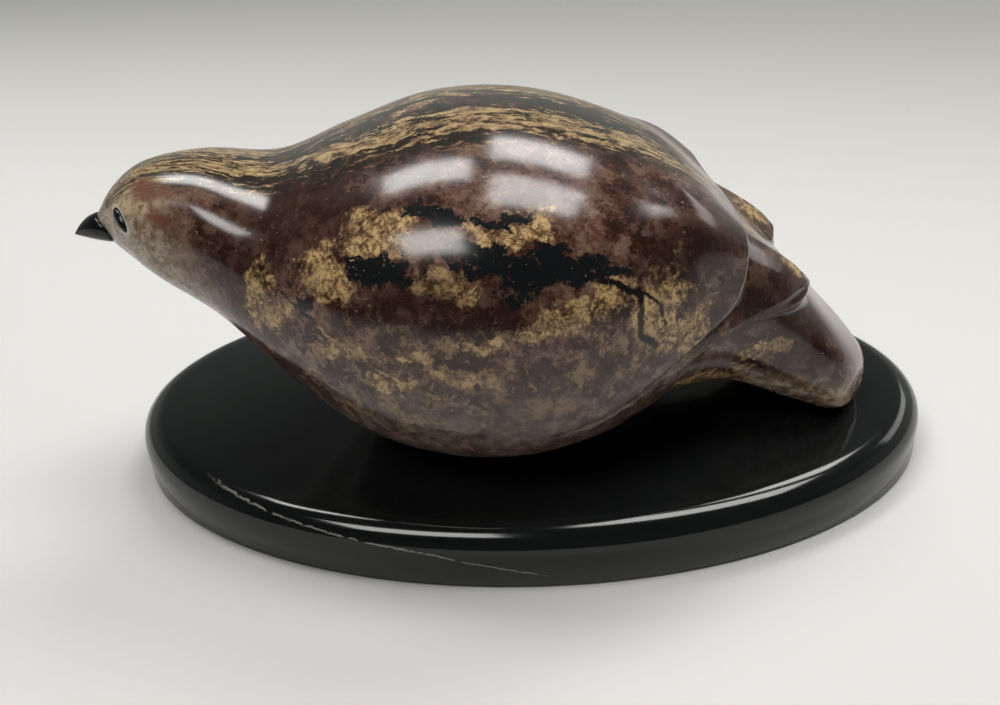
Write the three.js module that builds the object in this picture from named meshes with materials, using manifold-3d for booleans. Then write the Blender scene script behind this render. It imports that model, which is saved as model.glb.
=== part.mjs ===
// A polished soapstone bird, crouching with its head held forward, on a flat oval plinth of black stone.
// Millimetres, +Z up. The plinth stands on z = 0 and its length runs along X; the bird looks along -X.

import * as THREE from 'three';
import { mergeVertices } from 'three/addons/utils/BufferGeometryUtils.js';
import Module from 'manifold-3d';

const wasm = await Module();
wasm.setup();

const { cos, sin, sqrt, abs, sign, min, max, PI } = Math;
const radians = THREE.MathUtils.degToRad;
const ease = THREE.MathUtils.smoothstep;
const mix = THREE.MathUtils.lerp;

// Driving dimensions of the plinth: an oval slab with a plain wall and a quarter-round top edge.
const PLINTH = { length: 210, width: 124, height: 15, edgeRadius: 6.5, sides: 80, edgeSteps: 6 };

// Where the bird lies on the plinth: a little off the middle and turned a few degrees.
const STANCE = { along: 0, across: -7.5, turn: radians(5.4) };

// The bird's cross-sections from the beak's seat to the tail, in its own frame, heights above the plinth.
// lean is how far the top of a section is ahead of its foot, wrap how far its sides lie back behind its middle,
// and power how square it is (2 is an ellipse).
const SECTIONS = [
  { name: 'beak seat', at: -94.7, lean: 2.4, wrap: 2.0, back: 61.5, belly: 54.5, half: 4.5, power: 2.0 },
  { name: 'brow', at: -89.6, lean: 2.0, wrap: 0.8, back: 68.0, belly: 50.5, half: 9.2, power: 2.0 },
  { name: 'cheek', at: -82.0, lean: 2.0, wrap: 0, back: 72.7, belly: 44.3, half: 15.1, power: 2.0 },
  { name: 'crown', at: -69.0, lean: 1.5, wrap: 0, back: 74.0, belly: 34.5, half: 20.8, power: 2.1 },
  { name: 'nape', at: -53.0, lean: 0, wrap: 0, back: 71.5, belly: 19.2, half: 31.1, power: 2.15 },
  { name: 'shoulder', at: -36.0, lean: 0, wrap: 0, back: 76.4, belly: 5.7, half: 42.6, power: 2.15 },
  { name: 'breast', at: -17.0, lean: 0, wrap: 0, back: 81.4, belly: -1.1, half: 49.7, power: 2.15 },
  { name: 'middle', at: 2.0, lean: 0, wrap: 0, back: 81.3, belly: -1.9, half: 50.9, power: 2.15 },
  { name: 'flank', at: 20.0, lean: 0, wrap: 0, back: 76.7, belly: 1.7, half: 45.8, power: 2.15 },
  { name: 'loin', at: 37.0, lean: 0, wrap: 0, back: 67.9, belly: 9.2, half: 36.1, power: 2.15 },
  { name: 'rump', at: 51.0, lean: 0, wrap: 0, back: 54.1, belly: 9.2, half: 28.8, power: 2.2 },
  { name: 'vent', at: 65.0, lean: 0, wrap: 0, back: 39.0, belly: 3.6, half: 25.0, power: 2.5 },
  { name: 'tail', at: 78.0, lean: 0, wrap: 0, back: 23.4, belly: 0.5, half: 23.4, power: 3.0 },
  { name: 'tail corner', at: 85.8, lean: 0, wrap: 0, back: 14.8, belly: 1.4, half: 14.0, power: 2.7 },
  { name: 'tail end', at: 88.4, lean: 0, wrap: 0, back: 11.2, belly: 3.0, half: 7.6, power: 2.3 },
];
const TAIL_TIP = 89.4;

// The wings: a covert layer that ends in a crisp step, and a primary layer below it that ends in a point.
// The right wing's covert layer is cut a little shorter than the left one's.
// Angles are counted down from the ridge of the back; a slant is in millimetres for each radian.
const COVERT = {
  edgeAt: 54.5, slant: 3.4, rightShort: 3, sweepFrom: radians(50), sweepTo: radians(120), sweep: 42, sweepPower: 3,
  cornerAngle: radians(47), leftSpread: radians(22), rightSpread: radians(16), outerSpread: radians(15),
  cornerRise: 5.6, sideRise: 1.8, backRise: 0.7,
  fadeFrom: radians(105), fadeTo: radians(138), run: 30, step: 0.9, cornerStep: 4.6,
};
const PRIMARY = {
  tipAt: 69, tipAngle: radians(28), tipRise: 7.2, sweep: 31, sweepPower: 1.8, sweepTo: radians(104), innerSweep: 14,
  edgeRise: 1.9, innerFade: radians(13), fadeFrom: radians(96), fadeTo: radians(116), rounding: 0.2,
  roundSpread: radians(20),
};
const STEP_RUN = 0.35;

// The inlaid eyes and the beak.
const EYE = { station: 1.37, angle: radians(66), slant: radians(52), length: 6.2, width: 2.7, dome: 0.8, depth: 2.4 };
const BEAK = { length: 7.7, drop: 1.3, sides: 24, steps: 8 };
const GAP = 0.3;

// How finely the bird is divided: around, and along each of its three bands.
const GRID = { around: 64, body: 30, primary: 7, tail: 13, cap: 3 };

const material = (color, roughness) => new THREE.MeshStandardMaterial({ color, roughness, metalness: 0 });
const stone = material(0x6b4a40, 0.25);
const black = material(0x0b0d0d, 0.12);

// A closed geometry from rings of points: the side walls, and a fan at each end.
function closedLoft(rings, startPole, endPole) {
  const count = rings[0].length;
  const points = [...rings.flat(), startPole, endPole];
  const start = points.length - 2;
  const end = points.length - 1;
  const index = [];
  for (let r = 0; r + 1 < rings.length; r += 1) {
    for (let i = 0; i < count; i += 1) {
      const a = r * count + i;
      const b = r * count + ((i + 1) % count);
      index.push(a, b, b + count, a, b + count, a + count);
    }
  }
  const last = (rings.length - 1) * count;
  for (let i = 0; i < count; i += 1) {
    const next = (i + 1) % count;
    index.push(start, next, i, end, last + i, last + next);
  }
  const geometry = new THREE.BufferGeometry();
  geometry.setAttribute('position', new THREE.Float32BufferAttribute(points.flatMap((p) => p.toArray()), 3));
  geometry.setIndex(index);
  return geometry;
}

function toSolid(geometry) {
  const merged = mergeVertices(geometry, 1e-4);
  const vertProperties = new Float32Array(merged.getAttribute('position').array);
  const triVerts = new Uint32Array(merged.getIndex().array);
  return new wasm.Manifold(new wasm.Mesh({ numProp: 3, vertProperties, triVerts }));
}

function toGeometry(solid) {
  const mesh = solid.getMesh();
  const geometry = new THREE.BufferGeometry();
  geometry.setAttribute('position', new THREE.BufferAttribute(mesh.vertProperties, 3));
  geometry.setIndex(new THREE.BufferAttribute(mesh.triVerts, 1));
  return geometry;
}

// A smooth value through one column of the section table; station 0 is the beak's seat.
function through(key, station) {
  const last = SECTIONS.length - 1;
  const i = min(Math.floor(station), last - 1);
  const t = station - i;
  const value = (k) => SECTIONS[min(max(k, 0), last)][key];
  const [p0, p1, p2, p3] = [value(i - 1), value(i), value(i + 1), value(i + 2)];
  const m1 = (p2 - p0) / 2;
  const m2 = (p3 - p1) / 2;
  const t2 = t * t;
  const t3 = t2 * t;
  return (2 * t3 - 3 * t2 + 1) * p1 + (t3 - 2 * t2 + t) * m1 + (3 * t2 - 2 * t3) * p2 + (t3 - t2) * m2;
}

// The station whose section stands at a distance along the bird.
function stationAt(distance) {
  let low = 0;
  let high = SECTIONS.length - 1;
  for (let k = 0; k < 30; k += 1) {
    const middle = (low + high) / 2;
    if (through('at', middle) < distance) low = middle;
    else high = middle;
  }
  return (low + high) / 2;
}

// A point of the skin; angle runs once around from the ridge of the back, down the left side first.
function skin(station, angle, lift = 0) {
  const power = 2 / through('power', station);
  const c = sign(cos(angle)) * abs(cos(angle)) ** power;
  const s = sign(sin(angle)) * abs(sin(angle)) ** power;
  const back = through('back', station);
  const belly = through('belly', station);
  const half = through('half', station);
  const tall = (back - belly) / 2;
  const outY = -s * tall;
  const outZ = c * half;
  const length = sqrt(outY * outY + outZ * outZ) || 1;
  return new THREE.Vector3(
    through('at', station) - (c * through('lean', station)) / 2 + s * s * through('wrap', station),
    -half * s + (lift * outY) / length,
    (back + belly) / 2 + tall * c + (lift * outZ) / length,
  );
}

const covertEdge = (down, side) => {
  const swept = min(max((down - COVERT.sweepFrom) / (COVERT.sweepTo - COVERT.sweepFrom), 0), 1);
  const short = side < 0 ? COVERT.rightShort * ease(down, 0, COVERT.cornerAngle) : 0;
  return COVERT.edgeAt - COVERT.slant * down - short - COVERT.sweep * swept ** COVERT.sweepPower;
};

const primaryEdge = (down, side) => {
  const swept = max((down - PRIMARY.tipAngle) / (PRIMARY.sweepTo - PRIMARY.tipAngle), 0);
  const inward = max(1 - down / PRIMARY.tipAngle, 0);
  const edge = PRIMARY.tipAt - PRIMARY.sweep * swept ** PRIMARY.sweepPower - PRIMARY.innerSweep * inward ** 2;
  return max(edge, covertEdge(down, side) + 4 * STEP_RUN);
};

// How far the covert layer stands out of the body along its rear edge.
function nearCorner(down, side) {
  const inner = side > 0 ? COVERT.leftSpread : COVERT.rightSpread;
  const spread = down < COVERT.cornerAngle ? inner : COVERT.outerSpread;
  return Math.exp(-(((down - COVERT.cornerAngle) / spread) ** 2));
}

function covertRise(down, side) {
  const edgeRise = mix(COVERT.backRise, COVERT.sideRise, ease(down, 0, COVERT.cornerAngle));
  const fade = 1 - ease(down, COVERT.fadeFrom, COVERT.fadeTo);
  return (edgeRise + COVERT.cornerRise * nearCorner(down, side)) * fade;
}

// How far the covert's edge steps down to the primary layer: most at its corner.
const covertStep = (down, side) => COVERT.step + COVERT.cornerStep * nearCorner(down, side);

function primaryRise(down) {
  const inner = ease(down, PRIMARY.tipAngle - PRIMARY.innerFade, PRIMARY.tipAngle);
  const outward = ease(down, PRIMARY.tipAngle, radians(75));
  return mix(PRIMARY.tipRise, PRIMARY.edgeRise, outward) * inner * (1 - ease(down, PRIMARY.fadeFrom, PRIMARY.fadeTo));
}

// The point of the primary layer is rounded over at its end.
function roundedOver(down, t) {
  return 1 - PRIMARY.rounding * Math.exp(-(((down - PRIMARY.tipAngle) / PRIMARY.roundSpread) ** 2)) * t ** 6;
}

// The two layers and the tail meet along the same lines of the grid, so every step is crisp.
function birdRings() {
  const rings = [];
  const ring = (place) => {
    const row = [];
    for (let i = 0; i < GRID.around; i += 1) {
      const angle = (2 * PI * i) / GRID.around;
      const down = min(angle, 2 * PI - angle);
      const [station, lift] = place(down, angle > PI ? -1 : 1);
      row.push(skin(station, angle, lift));
    }
    rings.push(row);
  };
  for (let r = 0; r <= GRID.body; r += 1) {
    const t = r / GRID.body;
    ring((down, side) => {
      const edge = covertEdge(down, side) - STEP_RUN;
      const station = mix(0, stationAt(edge), t);
      const reach = through('at', station);
      return [station, covertRise(down, side) * ease(reach, edge - COVERT.run, edge)];
    });
  }
  for (let r = 0; r <= GRID.primary; r += 1) {
    const t = r / GRID.primary;
    ring((down, side) => {
      const from = covertEdge(down, side) + STEP_RUN;
      const to = primaryEdge(down, side) - STEP_RUN;
      const rise = primaryRise(down);
      const atCovert = max(covertRise(down, side) - covertStep(down, side), 0) * min(rise / PRIMARY.edgeRise, 1);
      return [stationAt(mix(from, to, t)), mix(atCovert, rise, t ** 0.85) * roundedOver(down, t)];
    });
  }
  for (let r = 0; r <= GRID.tail; r += 1) {
    const t = r / GRID.tail;
    ring((down, side) => [mix(stationAt(primaryEdge(down, side) + STEP_RUN), SECTIONS.length - 1, t), 0]);
  }
  const lastRing = rings.at(-1);
  const heart = lastRing.reduce((sum, p) => sum.add(p), new THREE.Vector3()).divideScalar(GRID.around);
  for (let r = 1; r < GRID.cap; r += 1) {
    const turn = (r / GRID.cap) * (PI / 2);
    const shift = (TAIL_TIP - heart.x) * sin(turn);
    rings.push(lastRing.map((p) => heart.clone().lerp(p, cos(turn)).setX(heart.x + shift)));
  }
  return { rings, tip: new THREE.Vector3(TAIL_TIP, 0, heart.z) };
}

// An eye is an oval plug with a domed face; grow widens it into the cutter of its socket.
function eyeGeometry(grow) {
  const sides = 24;
  const a = EYE.length / 2 + grow;
  const b = EYE.width / 2 + grow;
  const oval = (scale, height) => Array.from({ length: sides }, (_, i) => {
    const t = (2 * PI * i) / sides;
    return new THREE.Vector3(a * scale * cos(t), b * scale * sin(t), height);
  });
  const dome = [0, 0.35, 0.7, 0.9].map((t) => oval(cos((t * PI) / 2), EYE.dome * sin((t * PI) / 2)));
  const top = grow ? [oval(1, 3)] : dome;
  const reach = grow ? 3 : EYE.dome;
  return closedLoft([oval(1, -EYE.depth - grow), ...top], new THREE.Vector3(0, 0, -EYE.depth - grow),
    new THREE.Vector3(0, 0, reach));
}

// The frame of an eye on the head's skin: long axis, short axis and outward direction.
function eyeMatrix(side) {
  const angle = side > 0 ? EYE.angle : 2 * PI - EYE.angle;
  const centre = skin(EYE.station, angle);
  const along = skin(EYE.station + 0.05, angle).sub(skin(EYE.station - 0.05, angle)).normalize();
  const around = skin(EYE.station, angle + 0.05).sub(skin(EYE.station, angle - 0.05)).normalize();
  const out = new THREE.Vector3().crossVectors(around, along).normalize();
  const long = along.clone().applyAxisAngle(out, -side * EYE.slant);
  const short = new THREE.Vector3().crossVectors(out, long);
  return new THREE.Matrix4().makeBasis(long, short, out).setPosition(centre);
}

function birdGeometry() {
  const { rings, tip } = birdRings();
  const seat = rings[0].reduce((sum, p) => sum.add(p), new THREE.Vector3()).divideScalar(GRID.around);
  let solid = toSolid(closedLoft(rings, seat, tip));
  for (const side of [1, -1]) {
    solid = solid.subtract(toSolid(eyeGeometry(GAP).applyMatrix4(eyeMatrix(side))));
  }
  const below = new THREE.BoxGeometry(300, 200, 40).translate(0, 0, -20);
  below.deleteAttribute('normal');
  below.deleteAttribute('uv');
  return toGeometry(solid.subtract(toSolid(below)));
}

// The beak carries on the outline of its seat and closes to a blunt tip that points a little down.
function beakGeometry() {
  const seat = SECTIONS[0];
  const rings = [];
  for (let r = 0; r < BEAK.steps; r += 1) {
    const t = sin((r / BEAK.steps) * (PI / 2));
    const back = mix(seat.back, (seat.back + seat.belly) / 2 - BEAK.drop, t ** 1.9);
    const belly = mix(seat.belly, (seat.back + seat.belly) / 2 - BEAK.drop, t ** 1.2);
    const half = seat.half * (1 - t ** 1.6);
    const ring = [];
    for (let i = 0; i < BEAK.sides; i += 1) {
      const angle = (2 * PI * i) / BEAK.sides;
      ring.push(new THREE.Vector3(
        seat.at - GAP - BEAK.length * t + (1 - t) * (sin(angle) ** 2 * seat.wrap - (cos(angle) * seat.lean) / 2),
        half * sin(angle),
        (back + belly) / 2 + ((back - belly) / 2) * cos(angle),
      ));
    }
    rings.push(ring);
  }
  const middle = (seat.back + seat.belly) / 2;
  return closedLoft(rings, new THREE.Vector3(seat.at - GAP, 0, middle),
    new THREE.Vector3(seat.at - GAP - BEAK.length, 0, middle - BEAK.drop));
}

function plinthGeometry() {
  const oval = (inset, height) => Array.from({ length: PLINTH.sides }, (_, i) => {
    const t = (2 * PI * i) / PLINTH.sides;
    return new THREE.Vector3((PLINTH.length / 2 - inset) * cos(t), (PLINTH.width / 2 - inset) * sin(t), height);
  });
  const rings = [oval(0, 0)];
  for (let k = 0; k <= PLINTH.edgeSteps; k += 1) {
    const turn = (k / PLINTH.edgeSteps) * (PI / 2);
    const inset = PLINTH.edgeRadius * (1 - cos(turn));
    rings.push(oval(inset, PLINTH.height - PLINTH.edgeRadius * (1 - sin(turn))));
  }
  return closedLoft(rings, new THREE.Vector3(0, 0, 0), new THREE.Vector3(0, 0, PLINTH.height));
}

function named(name, geometry, surface) {
  const mesh = new THREE.Mesh(geometry, surface);
  mesh.name = name;
  return mesh;
}

const bird = new THREE.Group();
bird.position.set(STANCE.along, STANCE.across, PLINTH.height);
bird.rotation.z = STANCE.turn;
bird.add(named('bird', birdGeometry(), stone));
bird.add(named('beak', beakGeometry(), black));
bird.add(named('eye_left', eyeGeometry(0).applyMatrix4(eyeMatrix(1)), black));
bird.add(named('eye_right', eyeGeometry(0).applyMatrix4(eyeMatrix(-1)), black));

const carving = new THREE.Group();
carving.add(named('plinth', plinthGeometry(), black));
carving.add(bird);

export default carving;
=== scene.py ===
# %% [markdown]
# # A polished soapstone bird on a black oval plinth
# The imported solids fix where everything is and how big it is. Here each of them gets its finish: a finer skin
# where a polished surface would show facets, and stone that is worked out by nodes.

# %% Load the frame
from math import cos, degrees, pi, radians, sin

import bpy
import numpy as np
from mathutils import Matrix, Vector


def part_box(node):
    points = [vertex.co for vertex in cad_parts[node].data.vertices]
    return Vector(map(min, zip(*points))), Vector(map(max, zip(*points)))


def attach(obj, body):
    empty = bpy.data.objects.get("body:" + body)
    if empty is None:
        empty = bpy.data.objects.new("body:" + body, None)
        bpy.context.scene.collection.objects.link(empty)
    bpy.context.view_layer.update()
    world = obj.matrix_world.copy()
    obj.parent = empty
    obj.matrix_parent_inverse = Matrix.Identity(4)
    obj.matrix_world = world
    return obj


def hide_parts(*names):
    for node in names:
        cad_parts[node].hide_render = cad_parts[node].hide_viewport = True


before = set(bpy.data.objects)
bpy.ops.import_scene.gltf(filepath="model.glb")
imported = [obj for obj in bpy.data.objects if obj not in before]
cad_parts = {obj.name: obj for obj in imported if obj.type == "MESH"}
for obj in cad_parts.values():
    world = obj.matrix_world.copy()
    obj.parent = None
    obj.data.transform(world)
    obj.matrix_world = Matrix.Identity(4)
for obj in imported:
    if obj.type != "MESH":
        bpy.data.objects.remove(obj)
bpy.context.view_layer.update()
MM = 0.001
PER_METRE = 1000.0
print("solids:", sorted(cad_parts))

# %% [markdown]
# ## The camera
# The photograph looks down on the carving from a hand's height above the table. A camera can be aimed with a
# track constraint, but its roll would then be lost, so its three axes are written straight into its matrix.
# The distance and the point that it looks at are in millimetres, the angles in radians.

# %% Set the camera
VIEW = {"elevation": 0.549779, "yaw": 0.093584, "roll": -0.075135, "distance": 268.42,
        "aim": (-4.90, 0.0, 25.06), "lens": 36.0, "sensor": 36.0}


def camera_axes(view):
    up_angle, yaw, roll = view["elevation"], view["yaw"], view["roll"]
    back = Vector((sin(yaw) * cos(up_angle), -cos(yaw) * cos(up_angle), sin(up_angle)))
    right = Vector((cos(yaw), sin(yaw), 0.0))
    up = back.cross(right)
    return cos(roll) * right + sin(roll) * up, cos(roll) * up - sin(roll) * right, back


lens = bpy.data.cameras.new("camera")
lens.lens, lens.sensor_width = VIEW["lens"], VIEW["sensor"]
lens.clip_start = 0.01
camera = bpy.data.objects.new("camera", lens)
axes = camera_axes(VIEW)
place = Vector(VIEW["aim"]) + axes[2] * VIEW["distance"]
camera.matrix_world = Matrix.Translation(place * MM) @ Matrix(axes).transposed().to_4x4()
bpy.context.scene.collection.objects.link(camera)
bpy.context.scene.camera = camera
print("camera at", [round(v, 3) for v in camera.location])

# %% [markdown]
# ## The light
# Polished stone is seen mostly by what it mirrors. In the room these are soft panels in the ceiling, so the
# light comes from area lamps at one height, laid out as the panels are. Seen in the curved back, four of them
# make the pale patches, and a far one makes the dim sheen in front of the wing's corner.

# %% Hang the ceiling panels
CEILING = 1.5
PANEL_COLOUR = (1.0, 0.985, 0.96)
# the middle and the size of each panel in heights of the ceiling, and its power in watts
PANELS = [
    ("panel_head", (-0.34, 0.27), (0.58, 0.26), 13.5),
    ("panel_tail", (0.34, 0.60), (0.60, 0.38), 17.5),
    ("panel_middle", (0.38, 0.04), (0.64, 0.34), 17.0),
    ("panel_near", (-0.42, -0.60), (0.60, 0.36), 16.0),
    ("panel_far", (1.60, 1.20), (0.80, 1.40), 20.0),
]
for name, (across, along), (wide, deep), watts in PANELS:
    lamp = bpy.data.lights.new(name, "AREA")
    lamp.shape = "RECTANGLE"
    lamp.size, lamp.size_y = wide * CEILING, deep * CEILING
    lamp.energy = watts
    lamp.color = PANEL_COLOUR
    panel = bpy.data.objects.new(name, lamp)
    panel.location = (across * CEILING, along * CEILING, CEILING)
    bpy.context.scene.collection.objects.link(panel)
print("ceiling panels:", len(PANELS))

# %% [markdown]
# ## Shader sums written as sums
# Stone is many small decisions of the kind "here a little more of this colour". Node by node such a graph is
# hard to read. A small class wraps the output of a node, so a mask can be added to or taken from another one in
# plain Python.


# %% Wrap a socket
class Amount:
    """A number that varies over the surface."""

    def __init__(self, graph, socket):
        self.graph, self.socket = graph, socket

    def math(self, operation, first, second):
        return self.graph.add("ShaderNodeMath", {"operation": operation}, {0: first, 1: second})

    def __add__(self, other):
        return self.math("ADD", self, other)

    def __radd__(self, other):
        return self.math("ADD", other, self)

    def __sub__(self, other):
        return self.math("SUBTRACT", self, other)

    def __rsub__(self, other):
        return self.math("SUBTRACT", other, self)

    def __mul__(self, other):
        return self.math("MULTIPLY", self, other)

    def __rmul__(self, other):
        return self.math("MULTIPLY", other, self)

    def __abs__(self):
        return self.math("ABSOLUTE", self, 0.0)


def most(first, second):
    return first.math("MAXIMUM", first, second)


def least(first, second):
    return first.math("MINIMUM", first, second)


print("sums of masks read as", "1.0 - mask")

# %% [markdown]
# Every other node comes from one method. It takes the node's type, its settings, and the value or link of each
# socket. The room and each material is such a graph, and the few helpers below only shorten what is used often.


# %% Gather the nodes of one graph
class Graph:
    """The nodes of one material, or of the room."""

    def __init__(self, tree):
        self.nodes, self.links = tree.nodes, tree.links

    def node(self, kind, settings=None, inputs=None):
        node = self.nodes.new(kind)
        for key, value in (settings or {}).items():
            if key == "stops":
                self.set_stops(node.color_ramp.elements, value)
            else:
                setattr(node, key, value)
        for key, value in (inputs or {}).items():
            self.feed(node.inputs[key], value)
        return node

    def add(self, kind, settings=None, inputs=None, output=0):
        return Amount(self, self.node(kind, settings, inputs).outputs[output])

    def feed(self, socket, value):
        if isinstance(value, Amount):
            self.links.new(value.socket, socket)
        elif socket.type == "RGBA":
            socket.default_value = (*value, 1.0)
        else:
            socket.default_value = value

    @staticmethod
    def set_stops(ramp, stops):
        while len(ramp) < len(stops):
            ramp.new(0.5)
        for stop, (position, colour) in zip(ramp, stops):
            stop.position, stop.color = position, (*colour, 1.0)

    def vector(self, operation, first, second):
        return self.add("ShaderNodeVectorMath", {"operation": operation}, {0: first, 1: second})

    def dot(self, where, axis):
        settings = {"operation": "DOT_PRODUCT"}
        return self.add("ShaderNodeVectorMath", settings, {0: where, 1: axis}, "Value")

    def length(self, apart):
        return self.add("ShaderNodeVectorMath", {"operation": "LENGTH"}, {0: apart}, "Value")

    def parts(self, where):
        return [Amount(self, out) for out in self.node("ShaderNodeSeparateXYZ", None, {0: where}).outputs]

    def join(self, x, y, z):
        return self.add("ShaderNodeCombineXYZ", None, {0: x, 1: y, 2: z})

    def noise(self, where, scale, detail=3.0, rough=0.55, output="Fac"):
        return self.add("ShaderNodeTexNoise", {"noise_dimensions": "3D"},
                        {"Vector": where, "Scale": scale, "Detail": detail, "Roughness": rough}, output)

    def between(self, value, low, high, start=0.0, end=1.0):
        """Runs smoothly from start to end while the value goes from low to high."""
        return self.add("ShaderNodeMapRange", {"interpolation_type": "SMOOTHSTEP"},
                        {"Value": value, "From Min": low, "From Max": high, "To Min": start, "To Max": end})

    def blend(self, under, over, mask):
        return self.add("ShaderNodeMix", {"data_type": "RGBA"}, {"Factor": mask, 6: under, 7: over}, 2)


class Finish(Graph):
    """One material and its shader."""

    def __init__(self, name, roughness, specular=0.5):
        self.material = bpy.data.materials.new(name)
        self.material.use_nodes = True
        super().__init__(self.material.node_tree)
        self.shader = self.nodes["Principled BSDF"]
        self.shader.inputs["Roughness"].default_value = roughness
        self.shader.inputs["Specular IOR Level"].default_value = specular

    def paint(self, name, value):
        self.feed(self.shader.inputs[name], value)

    def point(self, scale):
        """The piece's own coordinates, as many to a metre as scale says."""
        where = self.add("ShaderNodeTexCoord", output="Object")
        return self.vector("MULTIPLY", where, (scale, scale, scale))


print("a graph adds its nodes with one method")

# %% [markdown]
# ## The bird's skin
# The carving is one stone, and its polish shows the smallest facet. A subdivision modifier would round off the
# crisp steps of the wings as well, so the skin is worked out again from the same cross-sections as the solid,
# on a much finer grid, and each step gets a small round lip as sandpaper leaves it.

# %% Name the sections of the bird
COLUMNS = ("at", "lean", "wrap", "back", "belly", "half", "power")
SECTIONS = np.array([
    (-94.7, 2.4, 2.0, 61.5, 54.5, 4.5, 2.0),
    (-89.6, 2.0, 0.8, 68.0, 50.5, 9.2, 2.0),
    (-82.0, 2.0, 0.0, 72.7, 44.3, 15.1, 2.0),
    (-69.0, 1.5, 0.0, 74.0, 34.5, 20.8, 2.1),
    (-53.0, 0.0, 0.0, 71.5, 19.2, 31.1, 2.15),
    (-36.0, 0.0, 0.0, 76.4, 5.7, 42.6, 2.15),
    (-17.0, 0.0, 0.0, 81.4, -1.1, 49.7, 2.15),
    (2.0, 0.0, 0.0, 81.3, -1.9, 50.9, 2.15),
    (20.0, 0.0, 0.0, 76.7, 1.7, 45.8, 2.15),
    (37.0, 0.0, 0.0, 67.9, 9.2, 36.1, 2.15),
    (51.0, 0.0, 0.0, 54.1, 9.2, 28.8, 2.2),
    (65.0, 0.0, 0.0, 39.0, 3.6, 25.0, 2.5),
    (78.0, 0.0, 0.0, 23.4, 0.5, 23.4, 3.0),
    (85.8, 0.0, 0.0, 14.8, 1.4, 14.0, 2.7),
    (88.4, 0.0, 0.0, 11.2, 3.0, 7.6, 2.3),
])
TAIL_TIP = 89.4
LAST_STATION = len(SECTIONS) - 1.0
print("bird from", SECTIONS[0, 0], "to", TAIL_TIP, "mm in", len(SECTIONS), "sections")


# %% Run smoothly through the sections
def ease(value, low, high):
    t = np.clip((value - low) / (high - low), 0.0, 1.0)
    return t * t * (3.0 - 2.0 * t)


def mix(low, high, t):
    return low + (high - low) * t


def through(key, station):
    """A smooth value through one column of the sections."""
    column = SECTIONS[:, COLUMNS.index(key)]
    last = len(column) - 1
    i = np.minimum(np.floor(station).astype(int), last - 1)
    t = station - i
    p0, p1, p2, p3 = (column[np.clip(i + k, 0, last)] for k in (-1, 0, 1, 2))
    m1, m2 = (p2 - p0) / 2.0, (p3 - p1) / 2.0
    return ((2*t**3 - 3*t**2 + 1) * p1 + (t**3 - 2*t**2 + t) * m1
            + (3*t**2 - 2*t**3) * p2 + (t**3 - t**2) * m2)


STATIONS = np.linspace(0.0, LAST_STATION, 6001)
DISTANCES = through("at", STATIONS)


def station_at(distance):
    return np.interp(distance, DISTANCES, STATIONS)


print("the widest section is at station", round(float(station_at(2.0)), 2))


# %% Find a point of the skin
def skin(station, angle, lift=0.0):
    """A point of the skin; the angle runs around from the ridge of the back, down the left side first."""
    station, angle = np.broadcast_arrays(station, angle)
    power = 2.0 / through("power", station)
    c = np.sign(np.cos(angle)) * np.abs(np.cos(angle)) ** power
    s = np.sign(np.sin(angle)) * np.abs(np.sin(angle)) ** power
    back, belly, half = (through(key, station) for key in ("back", "belly", "half"))
    tall = (back - belly) / 2.0
    out_y, out_z = -s * tall, c * half
    length = np.hypot(out_y, out_z) + 1e-12
    x = through("at", station) - c * through("lean", station) / 2.0 + s * s * through("wrap", station)
    y = -half * s + lift * out_y / length
    z = (back + belly) / 2.0 + tall * c + lift * out_z / length
    return np.stack([x, y, z], -1)


print("top of the back:", np.round(skin(station_at(2.0), 0.0), 1), "mm")

# %% [markdown]
# The wings are two layers that lie on the body like roof tiles. Each ends along a line that sweeps forward as it
# goes down the side, and stands a little proud there: the covert layer most at its corner, the primary layer at
# its point. Both lines are simple functions of the angle down from the ridge, so they could be moved at will.

# %% Draw the wing edges
STEP_RUN = 0.35
COVERT = {"edge_at": 54.5, "slant": 3.4, "right_short": 3.0, "sweep_from": radians(50),
          "sweep_to": radians(120), "sweep": 42.0, "corner": radians(47), "inner_spread": radians(22),
          "right_spread": radians(16), "spread": radians(15), "corner_rise": 5.6, "side_rise": 1.8,
          "back_rise": 0.7, "fade_from": radians(105), "fade_to": radians(138), "run": 30.0,
          "step": 0.9, "corner_step": 4.6}
# the fine relief keeps the primary's edge a little further down the side than the solid does
PRIMARY = {"tip_at": 69.0, "tip": radians(28), "tip_rise": 7.2, "sweep": 31.0, "sweep_to": radians(104),
           "inner_sweep": 14.0, "edge_rise": 1.9, "inner_fade": radians(13), "fade_from": radians(103),
           "fade_to": radians(120), "outer": radians(75), "rounding": 0.2, "round_spread": radians(20)}


def bell(down, middle, spread):
    return np.exp(-(((down - middle) / spread) ** 2))


def covert_edge(down, left):
    swept = np.clip((down - COVERT["sweep_from"]) / (COVERT["sweep_to"] - COVERT["sweep_from"]), 0.0, 1.0)
    short = np.where(left, 0.0, COVERT["right_short"] * ease(down, 0.0, COVERT["corner"]))
    return COVERT["edge_at"] - COVERT["slant"] * down - short - COVERT["sweep"] * swept ** 3


def primary_edge(down, left):
    swept = np.maximum((down - PRIMARY["tip"]) / (PRIMARY["sweep_to"] - PRIMARY["tip"]), 0.0)
    inward = np.maximum(1.0 - down / PRIMARY["tip"], 0.0)
    edge = PRIMARY["tip_at"] - PRIMARY["sweep"] * swept ** 1.8 - PRIMARY["inner_sweep"] * inward ** 2
    return np.maximum(edge, covert_edge(down, left) + 4.0 * STEP_RUN)


print("covert edge on the ridge at", covert_edge(np.array(0.0), True), "mm")


# %% Raise the wings
def near_corner(down, left):
    inner = np.where(left, COVERT["inner_spread"], COVERT["right_spread"])
    return bell(down, COVERT["corner"], np.where(down < COVERT["corner"], inner, COVERT["spread"]))


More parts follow.
